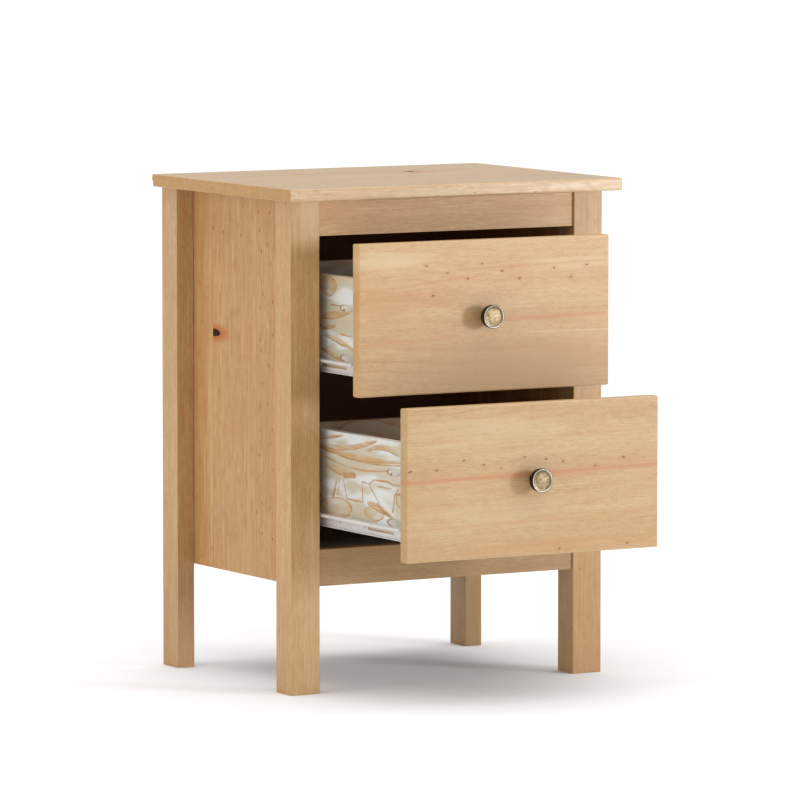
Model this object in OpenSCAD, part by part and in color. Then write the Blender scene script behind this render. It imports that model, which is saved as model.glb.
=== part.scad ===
// Nightstand with two inset drawers on roller slides.
// Z is up, the floor is at Z = 0, the fronts face -Y and the origin is the middle of the four feet.
// The drawers are drawn part way open, which is the position the slides start from.

/* [Overall size] */
// Height of the nightstand from the floor to the top board's upper face
height = 635; // [560:1:760]
// Width across the outer faces of the legs
legs_w = 454; // [400:1:560]
// Depth across the outer faces of the legs
legs_d = 341; // [335:1:420]

/* [Top board] */
// Thickness of the top board
top_t = 16; // [12:1:25]
// How far the top board stands out past the legs at each side
top_side_overhang = 14.5; // [0:0.5:30]
// How far the top board stands out past the front legs
top_front_overhang = 26; // [0:1:40]
// Radius of the top board's eased edges
top_edge_r = 2.5; // [1:0.5:5]
// Height of the rebate along the top board's back edge, which takes the back panel
top_rebate_h = 8; // [4:0.5:9]

/* [Legs and side panels] */
// Width of a front leg, across the nightstand
front_leg_w = 42; // [36:1:55]
// Depth of a front leg, front to back
front_leg_d = 38; // [30:1:50]
// Width of a back leg, across the nightstand
back_leg_w = 25; // [20:1:28]
// Depth of a back leg, front to back
back_leg_d = 40; // [30:1:50]
// Radius of the legs' eased upright edges
leg_edge_r = 3; // [1:0.5:5]
// Thickness of the side panels
panel_t = 17; // [15:1:20]
// Height of the side panels' lower edge above the floor
panel_bottom_z = 134; // [100:1:180]

/* [Rails, back and bottom] */
// Thickness of the front and back rails
rail_t = 18; // [15:1:22]
// How far the front rails and closed drawers sit behind the legs' front faces
rail_setback = 3; // [0:0.5:8]
// Height of the top rails
top_rail_h = 45; // [35:1:60]
// Height of the bottom rails
bottom_rail_h = 46; // [35:1:60]
// Height of the bottom rails' lower edge above the floor
bottom_rail_z = 135; // [110:1:180]
// Thickness of the back panel
back_panel_t = 4; // [3:0.5:8]
// Thickness of the bottom panel
bottom_panel_t = 6; // [3:0.5:8]
// Depth of the groove in the bottom rails that holds the bottom panel
bottom_groove = 6; // [4:1:9]

/* [Drawers] */
// Height of a drawer front
front_h = 190; // [170:1:200]
// Thickness of a drawer front
front_t = 16; // [14:1:20]
// Gap between a drawer front and the leg beside it
front_side_gap = 4; // [2:0.5:6]
// Gap below each drawer front
front_gap = 4; // [2:0.5:6]
// Radius of a drawer front's eased edges
front_edge_r = 2; // [1:0.5:4]
// Thickness of the drawer sides and backs
box_t = 12; // [10:0.5:14]
// Height of the drawer sides and backs
box_h = 120; // [90:1:125]
// Length of the drawer sides
box_l = 298; // [290:1:300]
// Height of a drawer side's lower edge above the drawer front's lower edge
box_lift = 26; // [20:1:35]
// Thickness of a drawer's bottom
drawer_bottom_t = 5; // [3:0.5:6]
// Depth of the grooves that hold a drawer's bottom
drawer_groove = 5; // [3:0.5:6]
// How far the upper drawer stands open
upper_open = 95; // [0:1:225]
// How far the lower drawer stands open
lower_open = 213; // [0:1:225]

/* [Knobs] */
// Diameter of a knob's face
knob_d = 30; // [24:1:38]
// How far a knob stands out from the drawer front
knob_l = 22; // [18:1:30]
// Diameter of a knob's neck
knob_neck_d = 11; // [9:1:14]

/* [Slides] */
// Length of the slide rails
rail_l = 300; // [280:1:310]
// Thickness of the slide rails' sheet steel
sheet_t = 1.2; // [1:0.1:1.4]
// Space between a drawer side and the side panel, which holds the slide
slide_gap = 12.5; // [12.5:0.1:13]
// Radius of the rollers on the cabinet rails
cabinet_roller_r = 7.5; // [7:0.1:7.5]
// Radius of the rollers on the drawer rails
drawer_roller_r = 7; // [6.5:0.1:7]

/* [Hidden] */
$fn = 48;
EASE = 0.1;                        // radial room round screws and dowels
CUT = 1;                           // overrun of a cutter past the face it opens
UNDER_TOP_Z = height - top_t;
FRONT_Y = -legs_d / 2;
BACK_Y = legs_d / 2;
PANEL_INNER_X = legs_w / 2 - front_leg_w;
PANEL_FRONT_Y = FRONT_Y + front_leg_d;
PANEL_BACK_Y = BACK_Y - back_panel_t;
RAIL_FRONT_Y = FRONT_Y + rail_setback;
RAIL_L = 2 * PANEL_INNER_X;
TOP_RAIL_Z = UNDER_TOP_Z - top_rail_h;
BACK_RAIL_Y = PANEL_BACK_Y - rail_t;
BOTTOM_PANEL_Z = bottom_rail_z + bottom_rail_h - 3 - bottom_panel_t;
BACK_PANEL_TOP_Z = UNDER_TOP_Z + top_rebate_h;

// Drawers: Y = 0 of a drawer is its front's back face, Z = 0 is its front's lower edge
CLOSED_Y = RAIL_FRONT_Y + front_t;
LOWER_Z = bottom_rail_z + bottom_rail_h + front_gap;
UPPER_Z = LOWER_Z + front_h + front_gap;
FRONT_W = RAIL_L - 2 * front_side_gap;
BOX_X = PANEL_INNER_X - slide_gap;
BOX_INNER_X = BOX_X - box_t;
DRAWER_BOTTOM_Z = box_lift + 8;
KNOB_Z = front_h / 2;

// Knobs: heights are measured from the drawer front, and the face is dished inside its rim
KNOB_SCREW_R = 2;
KNOB_SCREW_DEPTH = 11;
KNOB_FOOT_R = knob_neck_d / 2 + 0.8;
KNOB_FOOT_H = 1.2;
KNOB_NECK_H = 5;
KNOB_FLARE_H = 7;
KNOB_BELLY_R = 2.5;                // rounding between the flared underside and the side
KNOB_RIM_W = 1.8;
KNOB_DISH = 0.9;

// Dowels
DOWEL_D = 8;
DOWEL_L = 30;
RAIL_DOWEL_INSET = 12;             // from a rail's edge to its dowels
BOTTOM_RAIL_DOWEL_RISE = bottom_rail_h - 16; // the upper dowel of a bottom rail, above its lower edge
LEG_DOWEL_DEPTH = 12;              // how far a dowel enters the leg or the side panel
PANEL_DOWELS_Z = [190, 376, 562];

// Screws
SCREW_R = 1.8;
HEAD_R = 3.8;
HEAD_H = 2.2;
TOP_SCREW_X = 120;
TOP_SCREW_L = 34;
TOP_SCREW_SINK = 22;               // depth of the counterbore below a top screw's head
LEG_SCREW_L = 34;
LEG_SCREWS_Z = [180, 376, 572];
BACK_SCREW_R = 1.4;
BACK_SCREW_L = 18;
BACK_SCREW_SIDE_X = PANEL_INNER_X + panel_t / 2;
BACK_SCREW_RAIL_X = 95;
BACK_SCREWS_Z = [200, 376, 550];
BOX_SCREW_L = 30;
BOX_SCREWS_Z = [box_lift + 35, box_lift + 95];

// Pocket holes at the front end of each drawer side
POCKET_ANGLE = 15;
POCKET_R = 4.75;
POCKET_Y = 30;                     // where the hole's axis meets the side's outer face
POCKETS_Z = [45.5, 107.5];
POCKET_SEAT = 17;                  // from that point, along the axis, to the screw head's seat
POCKET_SCREW_L = 26;

// Slide: X is the distance from the side panel towards the drawer, Z = 0 is the drawer side's lower edge
CABINET_RAIL_Y = CLOSED_Y + 3.5;
DRAWER_RAIL_Y = 2;
DRAWER_RAIL_TOP = 14.8;
DRAWER_RAIL_FLANGE = 9.5;          // how far the top flange reaches over the cabinet rail's roller
DRAWER_RAIL_FOOT = 12;             // how far the foot reaches under the drawer side
DRAWER_RAIL_BEAD = 2;
DRAWER_RAIL_LIP = 2;
CABINET_RAIL_TOP = 11;
CABINET_RAIL_BOTTOM = -6.2;
CABINET_RAIL_FLANGE = 8.6;
CABINET_RAIL_LIP = 1.5;
FLANGE_START_Y = 22;               // the cabinet rail's flanges start behind its roller
ROLLER_GAP = 0.3;                  // room between a roller and its track
CABINET_ROLLER_Y = 11;
CABINET_ROLLER_Z = DRAWER_RAIL_TOP - sheet_t - ROLLER_GAP - cabinet_roller_r;
CABINET_ROLLER_X = [4.6, 8.6];
DRAWER_ROLLER_Y = rail_l - 10;
DRAWER_ROLLER_Z = CABINET_RAIL_BOTTOM + sheet_t + ROLLER_GAP + drawer_roller_r;
DRAWER_ROLLER_X = [3.3, 7];
RIVET_R = 2.25;
RIVET_HEAD_R = 3.5;
RIVET_HEAD_H = 0.4;
RIVET_PLAY = 0.05;                 // radial play of a roller on its rivet
SLOT_Y = [27, 89];                 // ends of the long slot in a drawer rail
SLOT_R = 2;
SLOT_Z = 7.2;
PIN_HOLE_R = 1.3;
PIN_HOLES_Y = [98, 160, 222];
RAIL_SCREW_R = 1.6;
RAIL_SCREW_HEAD_R = 3.2;
RAIL_SCREW_HEAD_H = 1;
RAIL_SCREW_L = 12;
RAIL_SCREWS_Y = [40, 150, 260];
CABINET_SCREW_Z = 2.3;
DRAWER_SCREW_X = slide_gap + box_t / 2;

LEFT = -1;
RIGHT = 1;

// ---- Helpers ----

// Turns a part drawn for the right-hand side into the one for the given side
module on_side(side) {
    mirror([side == LEFT ? 1 : 0, 0, 0]) children();
}

module both_sides() {
    for (side = [LEFT, RIGHT]) on_side(side) children();
}

// Extrudes an outline drawn in the YZ plane along +X
module along_x(length) {
    rotate([90, 0, 90]) linear_extrude(length) children();
}

// Extrudes an outline drawn in the XZ plane along +Y
module along_y(length) {
    translate([0, length, 0]) rotate([90, 0, 0]) linear_extrude(length) children();
}

// A cylinder from the origin along +X
module rod_x(r, length) {
    rotate([0, 90, 0]) cylinder(r = r, h = length);
}

// A cylinder from the origin along +Y
module rod_y(r, length) {
    rotate([-90, 0, 0]) cylinder(r = r, h = length);
}

// A rectangle from the origin with round corners
module eased_rect(w, h, r) {
    translate([r, 0]) square([w - 2 * r, h]);
    translate([0, r]) square([w, h - 2 * r]);
    for (x = [r, w - r], y = [r, h - r]) translate([x, y]) circle(r = r);
}

// A block from the origin with eased edges all round
module eased_block(size, r) {
    intersection() {
        along_x(size.x) eased_rect(size.y, size.z, r);
        along_y(size.y) eased_rect(size.x, size.z, r);
        linear_extrude(size.z) eased_rect(size.x, size.y, r);
    }
}

// A screw whose head sits on Z = 0 and whose shank points down, with a cross recess
module screw(r, length, head_r, head_h) {
    tip = 3 * r;
    difference() {
        union() {
            cylinder(r = head_r, h = head_h);
            translate([0, 0, tip - length]) cylinder(r = r, h = length - tip);
            translate([0, 0, -length]) cylinder(r1 = r / 6, r2 = r, h = tip);
        }
        for (a = [0, 90]) rotate([0, 0, a])
            translate([-head_r * 0.55, -head_r * 0.1, head_h * 0.4])
                cube([head_r * 1.1, head_r * 0.2, head_h]);
    }
}

// ---- Carcass ----

module top_board() {
    w = legs_w + 2 * top_side_overhang;
    d = legs_d + top_front_overhang;
    color("burlywood")
        difference() {
            translate([-w / 2, FRONT_Y - top_front_overhang, UNDER_TOP_Z]) {
                eased_block([w, d - back_panel_t, top_t], top_edge_r);
                intersection() {
                    eased_block([w, d, top_t], top_edge_r);
                    translate([0, 0, top_rebate_h]) cube([w, d, top_t]);
                }
            }
            at_top_screws() translate([0, 0, -CUT]) cylinder(r = SCREW_R + EASE, h = top_t - 3 + CUT);
        }
}

// The places of the top board's screws, at its underside
module at_top_screws() {
    for (x = [-TOP_SCREW_X, TOP_SCREW_X], y = [RAIL_FRONT_Y, BACK_RAIL_Y])
        translate([x, y + rail_t / 2, UNDER_TOP_Z]) children();
}

module top_screws() {
    color("silver")
        at_top_screws()
            translate([0, 0, TOP_SCREW_SINK - top_rail_h])
                rotate([180, 0, 0]) screw(SCREW_R, TOP_SCREW_L, HEAD_R, HEAD_H);
}

module front_leg(side) {
    color("burlywood")
        difference() {
            on_side(side)
                translate([legs_w / 2 - front_leg_w, FRONT_Y, 0])
                    linear_extrude(UNDER_TOP_Z) eased_rect(front_leg_w, front_leg_d, leg_edge_r);
            rail_dowel_holes();
            panel_dowel_holes();
            cabinet_rail_screw_holes();
        }
}

module back_leg(side) {
    color("burlywood")
        difference() {
            on_side(side)
                translate([legs_w / 2 - back_leg_w, BACK_Y - back_leg_d, 0])
                    linear_extrude(UNDER_TOP_Z) eased_rect(back_leg_w, back_leg_d, leg_edge_r);
            leg_screw_holes();
        }
}

module side_panel(side) {
    color("burlywood")
        difference() {
            on_side(side)
                translate([PANEL_INNER_X, PANEL_FRONT_Y, panel_bottom_z])
                    cube([panel_t, PANEL_BACK_Y - PANEL_FRONT_Y, UNDER_TOP_Z - panel_bottom_z]);
            rail_dowel_holes();
            panel_dowel_holes();
            leg_screw_holes();
            back_screw_holes();
            cabinet_rail_screw_holes();
        }
}

module rail_board(y, z, h) {
    translate([-PANEL_INNER_X, y, z]) cube([RAIL_L, rail_t, h]);
}

module top_rail(y) {
    color("burlywood")
        difference() {
            rail_board(y, TOP_RAIL_Z, top_rail_h);
            rail_dowel_holes();
            back_screw_holes();
            at_top_screws() translate([0, 0, -top_rail_h - CUT]) {
                cylinder(r = SCREW_R + EASE, h = top_rail_h + 2 * CUT);
                cylinder(r = HEAD_R + 1, h = TOP_SCREW_SINK + CUT);
            }
        }
}

module bottom_rail(y) {
    color("burlywood")
        difference() {
            rail_board(y, bottom_rail_z, bottom_rail_h);
            rail_dowel_holes();
            back_screw_holes();
            bottom_panel_board(CUT);
        }
}

// The bottom panel's board, made longer at both ends by the given overrun
module bottom_panel_board(overrun) {
    y = RAIL_FRONT_Y + rail_t - bottom_groove;
    w = RAIL_L + 2 * overrun;
    translate([-w / 2, y, BOTTOM_PANEL_Z])
        cube([w, BACK_RAIL_Y + bottom_groove - y, bottom_panel_t]);
}

module bottom_panel() {
    color("dimgray") bottom_panel_board(0);
}

module back_panel() {
    w = legs_w - 2 * back_leg_w;
    color("saddlebrown")
        difference() {
            translate([-w / 2, PANEL_BACK_Y, panel_bottom_z])
                cube([w, back_panel_t, BACK_PANEL_TOP_Z - panel_bottom_z]);
            back_screw_holes();
        }
}

// The places of the dowels at the right-hand ends of the rails, pointing outwards
module at_rail_dowels() {
    for (y = [RAIL_FRONT_Y, BACK_RAIL_Y])
        for (z = [TOP_RAIL_Z + RAIL_DOWEL_INSET, UNDER_TOP_Z - RAIL_DOWEL_INSET,
                  bottom_rail_z + RAIL_DOWEL_INSET, bottom_rail_z + BOTTOM_RAIL_DOWEL_RISE])
            translate([PANEL_INNER_X + LEG_DOWEL_DEPTH - DOWEL_L, y + rail_t / 2, z]) children();
}

module rail_dowels() {
    color("tan") both_sides() at_rail_dowels() rod_x(DOWEL_D / 2, DOWEL_L);
}

module rail_dowel_holes() {
    both_sides() at_rail_dowels()
        translate([-CUT, 0, 0]) rod_x(DOWEL_D / 2 + EASE, DOWEL_L + 2 * CUT);
}

// The places of the dowels between the right-hand side panel and its front leg
module at_panel_dowels() {
    for (z = PANEL_DOWELS_Z)
        translate([PANEL_INNER_X + panel_t / 2, PANEL_FRONT_Y - DOWEL_L / 2, z]) children();
}

module panel_dowels() {
    color("tan") both_sides() at_panel_dowels() rod_y(DOWEL_D / 2, DOWEL_L);
}

module panel_dowel_holes() {
    both_sides() at_panel_dowels()
        translate([0, -CUT, 0]) rod_y(DOWEL_D / 2 + EASE, DOWEL_L + 2 * CUT);
}

// The places of the screws from the right-hand side panel into its back leg
module at_leg_screws() {
    for (z = LEG_SCREWS_Z)
        translate([PANEL_INNER_X, BACK_Y - back_leg_d / 2 - 8, z]) children();
}

module leg_screws() {
    color("silver")
        both_sides() at_leg_screws()
            translate([HEAD_H, 0, 0]) rotate([0, -90, 0]) screw(SCREW_R, LEG_SCREW_L, HEAD_R, HEAD_H);
}

module leg_screw_holes() {
    both_sides() at_leg_screws() {
        translate([-CUT, 0, 0]) rod_x(SCREW_R + EASE, HEAD_H + LEG_SCREW_L + CUT + 1);
        translate([-CUT, 0, 0]) rod_x(HEAD_R + EASE, HEAD_H + CUT);
    }
}

// The places of the back panel's screws, whose heads are sunk flush in its outer face
module at_back_screws() {
    for (x = [-BACK_SCREW_SIDE_X, BACK_SCREW_SIDE_X], z = BACK_SCREWS_Z)
        translate([x, BACK_Y, z]) children();
    for (x = [-BACK_SCREW_RAIL_X, BACK_SCREW_RAIL_X])
        for (z = [TOP_RAIL_Z + top_rail_h / 2, bottom_rail_z + bottom_rail_h / 2])
            translate([x, BACK_Y, z]) children();
}

module back_panel_screws() {
    color("silver")
        at_back_screws() translate([0, -RAIL_SCREW_HEAD_H, 0])
            rotate([-90, 0, 0]) screw(BACK_SCREW_R, BACK_SCREW_L, RAIL_SCREW_HEAD_R, RAIL_SCREW_HEAD_H);
}

module back_screw_holes() {
    depth = RAIL_SCREW_HEAD_H + BACK_SCREW_L + 1;
    at_back_screws() {
        translate([0, -depth, 0]) rod_y(BACK_SCREW_R + EASE, depth + CUT);
        translate([0, -RAIL_SCREW_HEAD_H, 0]) rod_y(RAIL_SCREW_HEAD_R + EASE, RAIL_SCREW_HEAD_H + CUT);
    }
}

// ---- Drawers ----

module at_upper_drawer() {
    translate([0, CLOSED_Y - upper_open, UPPER_Z]) children();
}

module at_lower_drawer() {
    translate([0, CLOSED_Y - lower_open, LOWER_Z]) children();
}

module drawer_front() {
    color("burlywood")
        difference() {
            translate([-FRONT_W / 2, -front_t, 0]) eased_block([FRONT_W, front_t, front_h], front_edge_r);
            drawer_bottom_board();
            pocket_screw_holes();
            translate([0, -front_t - CUT, KNOB_Z]) rod_y(KNOB_SCREW_R + EASE, front_t + 2 * CUT);
        }
}

module drawer_side(side) {
    color("antiquewhite")
        difference() {
            on_side(side) translate([BOX_INNER_X, 0, box_lift]) cube([box_t, box_l, box_h]);
            drawer_bottom_board();
            pocket_screw_holes();
            box_screw_holes();
            drawer_rail_screw_holes();
        }
}

module drawer_back() {
    color("antiquewhite")
        difference() {
            translate([-BOX_INNER_X, box_l - box_t, box_lift]) cube([2 * BOX_INNER_X, box_t, box_h]);
            drawer_bottom_board();
            box_screw_holes();
        }
}

module drawer_bottom_board() {
    w = 2 * (BOX_INNER_X + drawer_groove);
    translate([-w / 2, -drawer_groove, DRAWER_BOTTOM_Z])
        cube([w, box_l - box_t + 2 * drawer_groove, drawer_bottom_t]);
}

module drawer_bottom() {
    color("antiquewhite") drawer_bottom_board();
}

// The places of the pocket screws' axes on a right-hand drawer side, pointing to the drawer front
module at_pockets() {
    for (z = POCKETS_Z)
        translate([BOX_X, POCKET_Y, z]) rotate([90, 0, -POCKET_ANGLE]) children();
}

module pocket_screws() {
    color("silver")
        both_sides() at_pockets()
            translate([0, 0, POCKET_SEAT]) rotate([180, 0, 0])
                screw(SCREW_R, POCKET_SCREW_L, HEAD_R, HEAD_H);
}

module pocket_screw_holes() {
    both_sides() at_pockets() {
        translate([0, 0, POCKET_SEAT - 60]) cylinder(r = POCKET_R, h = 60);
        cylinder(r = SCREW_R + EASE, h = POCKET_SEAT + POCKET_SCREW_L + 1);
    }
}

// The places of the screws from the right-hand drawer side into the drawer's back
module at_box_screws() {
    for (z = BOX_SCREWS_Z)
        translate([BOX_X, box_l - box_t / 2, z]) children();
}

module box_screws() {
    color("silver")
        both_sides() at_box_screws()
            translate([-HEAD_H, 0, 0]) rotate([0, 90, 0]) screw(SCREW_R, BOX_SCREW_L, HEAD_R, HEAD_H);
}

module box_screw_holes() {
    depth = HEAD_H + BOX_SCREW_L + 1;
    both_sides() at_box_screws() {
        translate([-depth, 0, 0]) rod_x(SCREW_R + EASE, depth + CUT);
        translate([-HEAD_H, 0, 0]) rod_x(HEAD_R + EASE, HEAD_H + CUT);
    }
}

// ---- Knob ----

// Half outline of a knob, from its foot to its face: radius, height
function knob_outline() = let (
    r = knob_d / 2,
    neck = knob_neck_d / 2,
    flare_w = r - 0.5 - KNOB_BELLY_R - neck,
    belly_z = KNOB_NECK_H + KNOB_FLARE_H + KNOB_BELLY_R
) concat(
    [[0, 0], [KNOB_FOOT_R, 0], [KNOB_FOOT_R, KNOB_FOOT_H], [neck, KNOB_FOOT_H + 0.8]],
    [for (a = [0 : 10 : 90]) [neck + flare_w * (1 - cos(a)), KNOB_NECK_H + KNOB_FLARE_H * sin(a)]],
    [for (a = [18 : 18 : 90]) [neck + flare_w + KNOB_BELLY_R * sin(a), belly_z - KNOB_BELLY_R * cos(a)]],
    [for (a = [0 : 22.5 : 90]) [r - 1 + cos(a), knob_l - 1 + sin(a)]],
    [[r - KNOB_RIM_W, knob_l], [r - KNOB_RIM_W - 0.6, knob_l - KNOB_DISH], [0, knob_l - KNOB_DISH]]
);

module knob() {
    color("darkkhaki")
        translate([0, -front_t, KNOB_Z]) rotate([90, 0, 0])
            difference() {
                rotate_extrude() polygon(knob_outline());
                translate([0, 0, -CUT]) cylinder(r = KNOB_SCREW_R + EASE, h = KNOB_SCREW_DEPTH + CUT);
            }
}

module knob_screw() {
    length = front_t + KNOB_SCREW_DEPTH - 1;
    color("silver")
        translate([0, 0, KNOB_Z]) rotate([-90, 0, 0])
            screw(KNOB_SCREW_R, length, HEAD_R, HEAD_H);
}

// ---- Slides ----

// Puts a slide part on the right-hand side panel, with X measured towards the drawer
module from_panel(z) {
    translate([PANEL_INNER_X, 0, z]) mirror([1, 0, 0]) children();
}

// The places of the four cabinet rails, or of one
module at_cabinet_rail(side, drawer_z) {
    on_side(side) translate([0, CABINET_RAIL_Y, 0]) from_panel(drawer_z + box_lift) children();
}

module at_all_cabinet_rails() {
    for (side = [LEFT, RIGHT], drawer_z = [LOWER_Z, UPPER_Z])
        at_cabinet_rail(side, drawer_z) children();
}

module at_drawer_rail(side) {
    on_side(side) translate([0, DRAWER_RAIL_Y, 0]) from_panel(box_lift) children();
}

// Channel against the side panel, open towards the drawer
module cabinet_rail() {
    web_h = CABINET_RAIL_TOP - CABINET_RAIL_BOTTOM;
    color("whitesmoke")
        difference() {
            union() {
                translate([0, 0, CABINET_RAIL_BOTTOM]) cube([sheet_t, rail_l, web_h]);
                translate([0, FLANGE_START_Y, 0]) along_y(rail_l - FLANGE_START_Y) {
                    translate([0, CABINET_RAIL_BOTTOM]) square([CABINET_RAIL_FLANGE, sheet_t]);
                    translate([0, CABINET_RAIL_TOP - sheet_t]) square([CABINET_RAIL_FLANGE, sheet_t]);
                    for (z = [CABINET_RAIL_BOTTOM, CABINET_RAIL_TOP - sheet_t - CABINET_RAIL_LIP])
                        translate([CABINET_RAIL_FLANGE - sheet_t, z])
                            square([sheet_t, sheet_t + CABINET_RAIL_LIP]);
                }
            }
            translate([-CUT, CABINET_ROLLER_Y, CABINET_ROLLER_Z]) rod_x(RIVET_R + EASE, sheet_t + 2 * CUT);
            for (y = RAIL_SCREWS_Y)
                translate([-CUT, y, CABINET_SCREW_Z]) rod_x(RAIL_SCREW_R + EASE, sheet_t + 2 * CUT);
        }
}

// Channel on the drawer side, open towards the side panel, with a foot under the drawer side
module drawer_rail() {
    web_x = slide_gap - sheet_t;
    color("whitesmoke")
        difference() {
            along_y(rail_l) {
                translate([web_x, -sheet_t]) square([sheet_t, DRAWER_RAIL_TOP + sheet_t]);
                translate([web_x - DRAWER_RAIL_BEAD, -sheet_t])
                    square([DRAWER_RAIL_BEAD + sheet_t + DRAWER_RAIL_FOOT, sheet_t]);
                translate([slide_gap - DRAWER_RAIL_FLANGE, DRAWER_RAIL_TOP - sheet_t])
                    square([DRAWER_RAIL_FLANGE, sheet_t]);
                translate([slide_gap - DRAWER_RAIL_FLANGE, DRAWER_RAIL_TOP - sheet_t - DRAWER_RAIL_LIP])
                    square([sheet_t, sheet_t + DRAWER_RAIL_LIP]);
            }
            translate([web_x - CUT, 0, SLOT_Z]) {
                for (y = SLOT_Y) translate([0, y, 0]) rod_x(SLOT_R, sheet_t + 2 * CUT);
                translate([0, SLOT_Y[0], -SLOT_R])
                    cube([sheet_t + 2 * CUT, SLOT_Y[1] - SLOT_Y[0], 2 * SLOT_R]);
                for (y = PIN_HOLES_Y) translate([0, y, 0]) rod_x(PIN_HOLE_R, sheet_t + 2 * CUT);
            }
            translate([web_x - CUT, DRAWER_ROLLER_Y, DRAWER_ROLLER_Z])
                rod_x(RIVET_R + EASE, sheet_t + 2 * CUT);
            for (y = RAIL_SCREWS_Y)
                translate([DRAWER_SCREW_X, y, -sheet_t - CUT])
                    cylinder(r = RAIL_SCREW_R + EASE, h = sheet_t + 2 * CUT);
        }
}

// A roller with a raised hub, from one X to the other
module roller(r, x, y, z) {
    color("gainsboro")
        translate([x[0], y, z])
            difference() {
                rod_x(r, x[1] - x[0]);
                for (face_x = [-CUT, x[1] - x[0] - 0.5])
                    translate([face_x, 0, 0]) difference() {
                        rod_x(r - 1.5, 0.5 + CUT);
                        translate([-CUT, 0, 0]) rod_x(RIVET_R + 1.2, 0.5 + 3 * CUT);
                    }
                translate([-CUT, 0, 0]) rod_x(RIVET_R + RIVET_PLAY, x[1] - x[0] + 2 * CUT);
            }
}

module cabinet_roller() {
    roller(cabinet_roller_r, CABINET_ROLLER_X, CABINET_ROLLER_Y, CABINET_ROLLER_Z);
}

module drawer_roller() {
    roller(drawer_roller_r, DRAWER_ROLLER_X, DRAWER_ROLLER_Y, DRAWER_ROLLER_Z);
}

module cabinet_roller_rivets() {
    end_x = CABINET_ROLLER_X[1] + 0.1;
    color("silver")
        at_all_cabinet_rails() translate([0, CABINET_ROLLER_Y, CABINET_ROLLER_Z]) {
            translate([0.1, 0, 0]) rod_x(RIVET_R, end_x);
            translate([end_x, 0, 0]) rod_x(RIVET_HEAD_R, RIVET_HEAD_H);
        }
}

module drawer_roller_rivets() {
    end_x = DRAWER_ROLLER_X[0] - 0.1;
    color("silver")
        for (side = [LEFT, RIGHT]) at_drawer_rail(side)
            translate([end_x, DRAWER_ROLLER_Y, DRAWER_ROLLER_Z]) {
                rod_x(RIVET_R, slide_gap - 0.1 - end_x);
                translate([-RIVET_HEAD_H, 0, 0]) rod_x(RIVET_HEAD_R, RIVET_HEAD_H);
            }
}

module cabinet_rail_screws() {
    color("silver")
        at_all_cabinet_rails() for (y = RAIL_SCREWS_Y)
            translate([sheet_t, y, CABINET_SCREW_Z]) rotate([0, 90, 0])
                screw(RAIL_SCREW_R, RAIL_SCREW_L, RAIL_SCREW_HEAD_R, RAIL_SCREW_HEAD_H);
}

module cabinet_rail_screw_holes() {
    depth = RAIL_SCREW_L - sheet_t + 0.5;
    at_all_cabinet_rails() for (y = RAIL_SCREWS_Y)
        translate([-depth, y, CABINET_SCREW_Z]) rod_x(RAIL_SCREW_R + EASE, depth + CUT);
}

module drawer_rail_screws() {
    color("silver")
        for (side = [LEFT, RIGHT]) at_drawer_rail(side) for (y = RAIL_SCREWS_Y)
            translate([DRAWER_SCREW_X, y, -sheet_t]) rotate([180, 0, 0])
                screw(RAIL_SCREW_R, RAIL_SCREW_L, RAIL_SCREW_HEAD_R, RAIL_SCREW_HEAD_H);
}

module drawer_rail_screw_holes() {
    for (side = [LEFT, RIGHT]) at_drawer_rail(side) for (y = RAIL_SCREWS_Y)
        translate([DRAWER_SCREW_X, y, -CUT])
            cylinder(r = RAIL_SCREW_R + EASE, h = RAIL_SCREW_L - sheet_t + 0.5 + CUT);
}

// ---- Nodes ----

top_board();
front_leg(LEFT);  // front_leg_left
front_leg(RIGHT);  // front_leg_right
back_leg(LEFT);  // back_leg_left
back_leg(RIGHT);  // back_leg_right
side_panel(LEFT);  // side_panel_left
side_panel(RIGHT);  // side_panel_right
back_panel();
bottom_panel();
top_rail(RAIL_FRONT_Y);  // front_top_rail
bottom_rail(RAIL_FRONT_Y);  // front_bottom_rail
top_rail(BACK_RAIL_Y);  // back_top_rail
bottom_rail(BACK_RAIL_Y);  // back_bottom_rail
rail_dowels();
panel_dowels();
top_screws();
leg_screws();
back_panel_screws();

at_cabinet_rail(LEFT, UPPER_Z) cabinet_rail();  // upper_left_cabinet_rail
at_cabinet_rail(RIGHT, UPPER_Z) cabinet_rail();  // upper_right_cabinet_rail
at_cabinet_rail(LEFT, LOWER_Z) cabinet_rail();  // lower_left_cabinet_rail
at_cabinet_rail(RIGHT, LOWER_Z) cabinet_rail();  // lower_right_cabinet_rail
cabinet_rail_screws();
cabinet_roller_rivets();
at_cabinet_rail(LEFT, UPPER_Z) cabinet_roller();  // upper_left_cabinet_roller
at_cabinet_rail(RIGHT, UPPER_Z) cabinet_roller();  // upper_right_cabinet_roller
at_cabinet_rail(LEFT, LOWER_Z) cabinet_roller();  // lower_left_cabinet_roller
at_cabinet_rail(RIGHT, LOWER_Z) cabinet_roller();  // lower_right_cabinet_roller

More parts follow.
